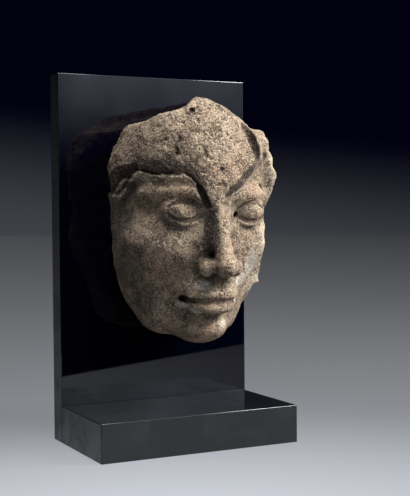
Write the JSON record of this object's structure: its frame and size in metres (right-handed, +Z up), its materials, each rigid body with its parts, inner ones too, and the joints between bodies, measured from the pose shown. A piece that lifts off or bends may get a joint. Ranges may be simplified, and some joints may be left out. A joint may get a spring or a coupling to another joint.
{
  "type": "stone head fragment on stand",
  "caption": "Weathered fragment of a carved stone head with a calm face, held in front of a black upright plate that stands behind a flat black base block.",
  "frame": {"origin": "middle of the stand's footprint, on the underside of the base block", "axes": "+Z up, the face looks to -Y, +X to the viewer's right"},
  "size_m": [0.18, 0.1494, 0.318],
  "materials": {
    "sandstone": "coarse weathered sandstone with dark patina and pale lime deposits",
    "black_gloss": "polished black, satin on the cut edges",
    "dark_steel": "blackened"
  },
  "bodies": {
    "root": {"stone_head": "sandstone", "back_plate": "black_gloss", "base_block": "black_gloss", "mounting_rod": "dark_steel"}
  },
  "joints": []
}
